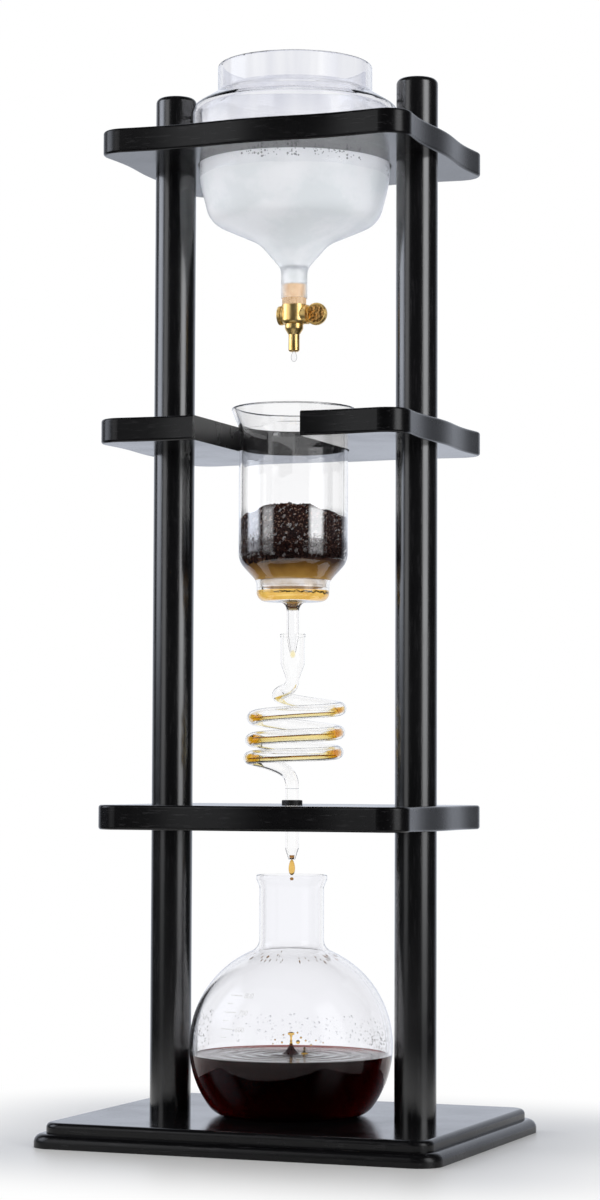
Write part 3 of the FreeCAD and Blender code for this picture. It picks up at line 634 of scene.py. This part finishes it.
def condensation():
    """Fine drops on the outside of the cylinder, left of the middle and low on the right."""
    wall = 34.42 * MM
    form = bmesh.new()
    for count, turns, low, high in ((620, (-150, -88), 363, 386), (170, (-58, -30), 364, 377)):
        for _ in range(count):
            angle = math.radians(random.uniform(*turns))
            height = (low + (high - low) * random.betavariate(1.6, 2.6)) * MM
            size = random.uniform(0.14, 0.34) * MM
            bead(form, polar(wall, angle, height), size, polar(1, angle), 0.6, detail=1)
    build("cylinder_condensation", form, "clear_water", "cylinder")


# ---------------------------------------------------------------- coil
def coil_line():
    """The middle of the coil's bore, as points from the socket's taper down to the stem."""
    # the same sizes, and shares of the height, as in the coil's own route
    radius, tube_top, stem_top = 26.9 * MM, 287.5 * MM, 219.0 * MM
    lean, slump, sway, sway_foot = 1.6 * MM, 1.9 * MM, 3.2 * MM, 0.6 * MM
    turns, start_angle, lead_in_angle = 2.5, 21.0, 220.0
    lead_in_bend, lead_in, lead_in_sag, lead_out, lead_out_end = 0.088, 0.277, 0.115, 0.198, 0.067

    height = tube_top - stem_top
    steps = int(turns * STEPS_PER_TURN)
    step_angle = 360.0 / STEPS_PER_TURN
    outside = radius / math.cos(math.radians(step_angle / 2))
    first = tube_top - height * lead_in
    pitch = (height * (1 - lead_in - lead_out - lead_out_end) + lean) / turns

    def at(reach, angle, level, shift):
        return polar(reach, math.radians(angle), level) + Vector((shift, 0, 0))

    route = [Vector((0, 0, tube_top + 5 * MM)),
             Vector((0, 0, tube_top - height * lead_in_bend))]
    for index in range(2, 6):
        share = index / 6
        before = lead_in_angle * (1 - share)
        level = first + pitch * before / 360 + height * lead_in_sag * (1 - share) ** 2
        route.append(at(outside * math.sin(math.pi / 2 * share), start_angle + before, level,
                        sway * share))
    for index in range(steps + 1):
        share = index / steps
        level = (first - pitch * index / STEPS_PER_TURN - slump * math.sin(math.pi * share)
                 + lean * (1 - math.cos(math.radians(index * step_angle))) / 2)
        route.append(at(outside, start_angle - index * step_angle, level,
                        sway + (sway_foot - sway) * share))
    last = route[-1].z
    for index in range(1, 5):
        share = index / 4
        route.append(at(outside * math.cos(math.pi / 2 * share),
                        start_angle - steps * step_angle - 90 * share,
                        last - height * lead_out * share ** 2, sway_foot * (1 - share)))
    route.append(Vector((0, 0, stem_top - 5 * MM)))

    line = []
    for before, corner, after in zip(route[:-2], route[1:-1], route[2:]):
        start, end = (before + corner) / 2, (corner + after) / 2
        for index in range(POINTS_PER_STEP):
            t = index / POINTS_PER_STEP
            line.append(start * (1 - t) ** 2 + corner * 2 * t * (1 - t) + end * t * t)
    return line


def line_index(step):
    """Which point of the coil's line lies at a step counted from the start of the turns."""
    return int(POINTS_PER_STEP * (LEAD_STEPS + step))


def square_to(line, index):
    """Directions sideways and up, square to the line at one of its points."""
    ahead = (line[index + 1] - line[index - 1]).normalized()
    side = ahead.cross(Vector((0, 0, 1))).normalized()
    return side, side.cross(ahead)


def trickle(line, levels):
    """Coffee lying in the coil's bore; levels are (step, height from -1, empty, to 1, full)."""
    bore, fullest = 3.06 * MM, 0.985
    arc, across = 20, 4                         # steps round the underside and over the surface
    dip = 0.15 * MM                             # the surface lies this much below its edges
    form = bmesh.new()
    rings = []
    for index in range(line_index(levels[0][0]), line_index(levels[-1][0]) + 1):
        step = index / POINTS_PER_STEP - LEAD_STEPS
        after = next(i for i in range(1, len(levels))
                     if step <= levels[i][0] or i == len(levels) - 1)
        (from_step, low), (to_step, high) = levels[after - 1], levels[after]
        share = min(max((step - from_step) / (to_step - from_step), 0), 1)
        top = low + (high - low) * share * share * (3 - 2 * share)
        half = math.acos(-max(min(top, fullest), -fullest))
        side, up = square_to(line, index)
        ring = []
        for k in range(arc + 1):
            angle = -half + 2 * half * k / arc
            out = side * math.sin(angle) - up * math.cos(angle)
            ring.append(form.verts.new(line[index] + out * bore))
        for k in range(1, across):
            ring.append(form.verts.new(ring[arc].co.lerp(ring[0].co, k / across) - up * dip))
        rings.append(ring)
    skin(form, rings)
    build("coil_trickle", form, "amber", "condenser")


def painted_shade_edge(form, line, first, last, level, thick):
    """Thin dark strip where the coffee's surface meets the outer side of the tube's bore, as
    painted shade.
    """
    bore = 2.98 * MM
    around = [math.pi * k / 4 for k in range(8)]
    rings = []
    start, end = line_index(first), line_index(last)
    for index in range(start, end + 1):
        share = (index - start) / (end - start)
        side, up = square_to(line, index)
        half = math.acos(-(level + 0.05 * math.sin(share * 7)))
        size = thick * MM * (0.25 + 0.75 * math.sin(math.pi * share) ** 0.5)
        middle = line[index] - (side * math.sin(half) + up * math.cos(half)) * (bore - size)
        rings.append([form.verts.new(middle + (side * math.cos(a) + up * math.sin(a)) * size)
                      for a in around])
    skin(form, rings)


def coil_contents():
    """Coffee that trickles through the turns, and the drop at the stem's tip."""
    line = coil_line()
    trickle(line, [
        (-5.2, -0.98), (-4.4, -0.75), (-3.6, -0.55), (-2.8, -0.8), (-1.0, -0.9), (-0.2, -0.3),
        (0.5, 0.5), (1.5, -0.3), (3.0, -0.45), (4.8, -0.3), (5.4, 0.5), (6.2, 0.85),
        (7.1, -0.75), (9.5, -0.93), (10.7, -0.7), (11.5, 0.8), (12.9, 0.85), (13.9, 0.05),
        (15.0, -0.04), (16.4, 0.1), (17.2, 0.85), (18.3, 0.95), (19.2, -0.75), (21.0, -0.93),
        (22.6, -0.5), (23.4, 0.85), (24.9, 0.7), (25.8, -0.3), (27.0, -0.42), (28.4, -0.3),
        (29.2, 0.6), (30.2, 0.95), (30.9, -0.3), (31.8, -0.97)])
    form = bmesh.new()
    # painted shade: dark strips along the coffee's edge in three stretches of the bore
    painted_shade_edge(form, line, 1.2, 5.4, -0.44, 0.30)
    painted_shade_edge(form, line, 13.3, 17.2, 0.02, 0.42)
    painted_shade_edge(form, line, 25.0, 29.4, -0.36, 0.50)
    build("coil_painted_shade_edge", form, "dark_amber", "condenser")
    drop("stem_drop", 2.6, 9.9, 164.0, 32, "amber_deep", "condenser")
    low, high = 174.0 * MM, 176.6 * MM
    turned("stem_tip_coffee", [(0, low), (1.45 * MM, low), (1.6 * MM, high), (0, high)], 32,
           "dark_amber", "condenser")


# ---------------------------------------------------------------- flask
def flask_coffee():
    """Coffee with rings round the place where the drops fall, and their splash."""
    tree = tree_of("flask")
    profile = filled(tree, 17.15 * MM, COFFEE_TOP + 0.6 * MM, 0.1 * MM, 60)
    rim = profile[-1][0]
    profile += [(rim - 0.4 * MM, COFFEE_TOP + 0.25 * MM), (rim - 1.1 * MM, COFFEE_TOP + 0.06 * MM),
                (rim - 3.0 * MM, COFFEE_TOP)]
    steps = 46
    for step in range(steps):
        reach = (rim - 3.5 * MM) * (1 - step / steps)
        wave = 0.5 * math.cos(reach / MM * 0.62) * math.exp(-reach / (30 * MM))
        cone = 7.0 * math.exp(-((reach / (3.4 * MM)) ** 1.25))
        profile.append((reach, COFFEE_TOP + (wave + cone) * MM))
    turned("coffee", profile + [(0, COFFEE_TOP + 7.4 * MM)], 128, "dark_coffee", "receiver")

    # (radius, height) in mm over the coffee's top: the jet in the middle and a smaller spike
    jet = ((0, 5.6), (1.15, 5.6), (0.75, 8.1), (0.6, 10.6), (0.9, 11.8), (2.2, 12.6),
           (2.0, 13.5), (0.9, 14.0), (0, 14.1))
    spike = ((0, 0.2), (2.9, 0.3), (1.1, 1.6), (0.6, 3.0), (0.9, 4.0), (0, 4.7))
    flying = ((-10, -2, 9, 0.55), (-6.5, 1, 7.2, 0.7), (5.0, -1, 8.0, 1.3), (6.2, 1, 10.6, 0.7),
              (9, 2, 8.8, 0.6), (13, 1, 6.4, 0.6), (17, -1, 9.4, 0.5), (-13, 2, 6, 0.45),
              (3.5, 2, 13.5, 0.6), (-4.4, -2, 12.2, 0.5), (21, 1, 8, 0.45))
    form = bmesh.new()
    for points, sides, place in ((jet, 32, None),
                                 (spike, 24, Matrix.Translation((7.6 * MM, 3.5 * MM, 0)))):
        profile = [(radius * MM, COFFEE_TOP + height * MM) for radius, height in points]
        turn_profile(form, profile, sides, place)
    for x, y, z, size in flying:
        bead(form, Vector((x * MM, y * MM, COFFEE_TOP + z * MM)), size * MM)
    build("splash", form, "amber_deep", "receiver")
    drop("falling_drop", 1.5, 1.5, 161.3, 24, "dark_amber", "receiver")


def wall_droplets():
    """Condensation and coffee spray on the inside of the flask."""
    tree = tree_of("flask")

    def scatter(name, finish, count, turns, rises, sizes, stretch=1.0):
        form = bmesh.new()
        for _ in range(count):
            turn = math.radians(random.uniform(*turns))
            rise = math.radians(random.uniform(*rises))
            ray = polar(math.cos(rise), turn, math.sin(rise))
            wall = tree.ray_cast(BALL_CENTRE, ray)[0]
            bead(form, wall, random.choice(sizes) * MM, ray, 0.5, stretch)
        build(name, form, finish, "receiver")

    scatter("droplets_back", "clear_water", 170, (30, 150), (-3, 14), (0.3, 0.4, 0.5, 0.7))
    scatter("droplets_right", "clear_water", 150, (-25, 40), (-3, 12), (0.25, 0.35, 0.45))
    scatter("droplets_left", "clear_water", 150, (170, 222), (-3, 20), (0.3, 0.45, 0.6))
    scatter("spray_on_shoulder", "dark_amber", 40, (-150, 20), (58, 71), (0.22, 0.3, 0.38), 5.0)


def graduations():
    """Faint volume marks on the flask: plain lines with plain numbers."""
    radius = 63.68 * MM                         # just outside the glass
    facing = math.radians(-112)
    form = bmesh.new()

    def on_flask(across, height):
        """A point on the ball, across mm to the right of the scale's left end."""
        ring = math.sqrt(radius ** 2 - (height - BALL_CENTRE.z) ** 2)
        return polar(ring, facing + across * MM / ring, height)

    def strip(width, height, thickness):
        """A line as wide as this from the scale's left end, all in mm."""
        low, high = ((height + side * thickness / 2) * MM for side in (-1, 1))
        steps = 8
        for step in range(steps):
            left, right = width * step / steps, width * (step + 1) / steps
            corners = ((left, low), (right, low), (right, high), (left, high))
            form.faces.new([form.verts.new(on_flask(x, z)) for x, z in corners])

    for index, height in enumerate((72.0, 82.0, 92.0)):
        strip(9, height, 0.45)
        strip(5, height - 5, 0.3)
        text = bpy.data.curves.new("number", "FONT")
        text.body = str(600 + 100 * index)
        text.size = 4.2
        holder = bpy.data.objects.new("number", text)
        scene.collection.objects.link(holder)
        bpy.context.view_layer.update()
        shown = holder.evaluated_get(bpy.context.evaluated_depsgraph_get())
        letters = bpy.data.meshes.new_from_object(shown)
        bpy.data.objects.remove(holder)
        bpy.data.curves.remove(text)
        places = [form.verts.new(on_flask(11 + v.co.x, (height - 1.4 + v.co.y) * MM))
                  for v in letters.vertices]
        for polygon in letters.polygons:
            form.faces.new([places[i] for i in polygon.vertices])
        bpy.data.meshes.remove(letters)
    build("graduation_marks", form, "graduation_print", "receiver")


# ---------------------------------------------------------------- studio
def floor():
    """Pale floor that keeps the lamps' soft shadow under the tower, greyed beside the board by
    painted shade, and runs out into white.
    """
    half_board = (0.131, 0.107, 0)
    painted_shade_width = 0.20
    shader = material("studio_floor")
    place = shader.node("TexCoord").outputs["Object"]
    folded = shader.node("VectorMath", {0: place}, operation="ABSOLUTE").outputs[0]
    beyond = shader.node("VectorMath", {0: folded, 1: half_board},
                         operation="SUBTRACT").outputs[0]
    beyond = shader.node("VectorMath", {0: beyond, 1: (0, 0, 0)}, operation="MAXIMUM").outputs[0]
    reach = shader.node("VectorMath", {0: beyond}, operation="LENGTH").outputs["Value"]
    # painted shade: the lit floor is grey beside the board and fades into plain white away from
    # it, on top of the lamps' real shadow
    painted_shade_fade = shader.share(reach, 0.0, painted_shade_width, smooth=True)
    colour = shader.ramp(shader.noise(3.0), (0.3, 0.61), (0.7, 0.65))
    lit = shader.principled({"Base Color": colour, "Roughness": 0.35, "Specular IOR Level": 0.25})
    white = shader.node("Emission", {"Color": (1, 1, 1, 1), "Strength": 1.0}).outputs[0]
    form = bmesh.new()
    bmesh.ops.create_circle(form, cap_ends=True, segments=96, radius=0.42)
    mesh = bpy.data.meshes.new("studio_floor")
    form.to_mesh(mesh)
    form.free()
    mesh.materials.append(shader.end(shader.mix(painted_shade_fade, lit, white)))
    ground = bpy.data.objects.new("studio_floor", mesh)
    scene.collection.objects.link(ground)


def lamp(name, place, target, width, height, radiance, colour=(1, 1, 1), card=False):
    """A soft box that lights the tower; a card is only mirrored in it, and has soft edges."""
    data = bpy.data.lights.new(name, "AREA")
    data.shape = "RECTANGLE"
    data.color = colour
    data.size = width
    data.size_y = height
    data.energy = radiance * math.pi * width * height
    holder = bpy.data.objects.new(name, data)
    holder.location = place
    aim = Vector(target) - Vector(place)
    holder.rotation_euler = aim.to_track_quat("-Z", "Y").to_euler()
    holder.visible_camera = False
    holder.visible_transmission = False
    holder.visible_diffuse = not card
    holder.visible_glossy = card
    if card:
        shader = Shader(data)
        spot = shader.node("SeparateXYZ", {0: shader.node("NewGeometry").outputs["Parametric"]})
        edges = []
        for axis in ("X", "Y"):
            centred = shader.math("ABSOLUTE", shader.math("SUBTRACT", spot.outputs[axis], 0.5))
            edges.append(shader.share(centred, 0.5, 0.22, smooth=True))
        strength = shader.math("MULTIPLY", *edges)
        glow = shader.node("Emission", {"Color": (1, 1, 1, 1), "Strength": strength}).outputs[0]
        shader.node("OutputLight", {"Surface": glow})
    scene.collection.objects.link(holder)


def studio():
    """White all round for the camera and through glass; soft boxes left, right and above."""
    world = bpy.data.worlds.new("studio")
    scene.world = world
    shader = Shader(world)
    path = shader.node("LightPath").outputs
    direction = shader.node("TexCoord").outputs["Generated"]
    away_from_front = (-0.358, 0.934, 0)
    behind = shader.node("VectorMath", {0: direction, 1: away_from_front},
                         operation="DOT_PRODUCT").outputs["Value"]
    mirrored = shader.share(behind, 0.50, 0.86, smooth=True, least=0.03)

    def background(colour, strength):
        return shader.node("Background", {"Color": colour, "Strength": strength}).outputs[0]

    surface = shader.mix(path["Is Glossy Ray"], background((1, 1, 1, 1), 0.60),
                         background((0.84, 0.89, 1, 1), mirrored))
    direct = shader.math("MAXIMUM", path["Is Camera Ray"], path["Is Transmission Ray"])
    surface = shader.mix(direct, surface, background((1, 1, 1, 1), 1.0))
    shader.node("OutputWorld", {"Surface": surface})

    middle = (0, 0, 0.40)
    lamp("soft_box_left", (-1.34, -0.16, 0.70), middle, 0.45, 1.0, 7.0)
    lamp("soft_box_front", (-0.66, -1.40, 0.60), middle, 0.55, 1.1, 1.6)
    lamp("soft_box_right", (1.30, -0.50, 0.66), middle, 0.50, 1.1, 5.5)
    lamp("soft_box_top", (0.0, 0.35, 1.9), middle, 1.2, 1.2, 1.2)
    cool, neutral = (0.84, 0.89, 1.0), (0.97, 0.98, 1.0)
    lamp("card_left", (-1.31, -0.45, 0.95), (0, 0, 0.95), 1.12, 1.5, 4.0, cool, True)
    lamp("card_front", (-0.86, -1.31, 0.86), (0, 0, 0.86), 0.86, 2.0, 1.35, neutral, True)
    lamp("card_right", (1.33, -0.46, 0.83), (0, 0, 0.83), 1.00, 1.9, 3.8, neutral, True)


# ---------------------------------------------------------------- assembly
finishes = {
    "post": lacquer("black_lacquer_post", "z", 0.20, 1.0),
    "board": lacquer("black_lacquer_board", "x", 0.14, 0.30, 0.26),
    "bare_wood": mottled("bare_wood", (500.0, 500.0, 25.0), 3.0, (0.40, 0.25, 0.13),
                         (0.58, 0.40, 0.23), 0.6, (0.0002, 0.4)),
    "screw_steel": mottled("screw_steel", (900.0, 900.0, 120.0), 2.0, 0.42, 0.58, (0.25, 0.4),
                           metal=1.0),
    "cork": cork(),
    "brass": brass("tap_brass"),
    "brass_embossed": brass("tap_brass_embossed", True),
    "ceramic": mottled("filter_ceramic", 160.0, 4.0, (0.66, 0.55, 0.42), (0.86, 0.83, 0.82),
                       0.55, (0.0002, 0.4)),
    "rubber": mottled("black_rubber", 900.0, 3.0, 0.004, 0.009, (0.45, 0.62), (0.0001, 0.4)),
    "vessel_glass": misted_glass(),
    "glass": glass("clear_glass", (0.995, 0.995, 1.0), (0.46, 0.47, 0.55), 1.6, wet=True),
    "flask_glass": glass("clear_glass_flask", (0.965, 0.967, 0.988), (0.30, 0.31, 0.42), 1.28,
                         0.36),
    "thin_glass": glass("clear_glass_tube", (0.998, 0.998, 1.0), (0.60, 0.60, 0.65), 1.30, 0.35),
    "drop": outlined("water_drop", 0.25, 0.85, 1.0),
    "cloudy_water": cloudy_water(),
    "clear_water": liquid("clear_water", (0.98, 0.985, 1), 1.33, 300.0, (0.0002, 0.2)),
    "bubble": outlined("air_bubble", 0.0, 0.45, 0.5),
    "amber": liquid("amber_coffee", (1.0, 0.99, 0.95), 1.06, 160.0, (0.0002, 0.15),
                    (1.0, 0.88, 0.55), ((0.925, 0.765, 0.083), 195.0)),
    "amber_cup": amber_coffee("amber_coffee_cup", (0.96, 0.63, 0.15), (0.70, 0.34, 0.05)),
    "brew_painted_shade": brew_painted_shade(),
    "amber_deep": amber_coffee("amber_coffee_deep", (0.90, 0.60, 0.18), (0.55, 0.26, 0.04)),
    "dark_amber": amber_coffee("amber_coffee_dark", (0.45, 0.20, 0.03), (0.06, 0.02, 0.006)),
    "dark_coffee": liquid("dark_coffee", (0.36, 0.13, 0.12), 1.12, 90.0, (0.0003, 0.15),
                          (0.25, 0.05, 0.03), ((0.60, 0.05, 0.03), 125.0)),
    "ground_coffee": ground_coffee(),
    "graduation_print": mottled("graduation_print", 900.0, 2.0, 0.66, 0.80, 0.6,
                                stops=(0.35, 0.6)),
}

dressing = {
    "post": [side + part for side in ("left", "right")
             for part in ("_lower_post", "_middle_post", "_upper_post", "_post_cap")],
    "board": ["base_board", "lower_shelf", "middle_shelf", "top_shelf"],
    "bare_wood": ["post_studs"],
    "screw_steel": ["base_screws", "base_washers"],
    "cork": ["tap_stopper"],
    "brass": ["tap_body", "tap_nozzle", "tap_plug", "tap_spring_washer", "tap_nut"],
    "ceramic": ["filter_disc", "filter_seal"],
    "rubber": ["coil_grommet"],
    "vessel_glass": ["water_vessel"],
    "glass": ["coffee_cylinder"],
    "flask_glass": ["flask"],
    "thin_glass": ["coil_condenser"],
}
for finish_name, members in dressing.items():
    for member in members:
        for slot in nodes[member].material_slots:
            slot.material = finishes[finish_name]

make_camera()
studio()
floor()
water()
drop("tap_drop", 2.45, 6.6, 487.6, 32, "drop", "tap")
paddle_face()
grounds()
brew()
condensation()
coil_contents()
flask_coffee()
wall_droplets()
graduations()

scene.view_settings.view_transform = "Standard"
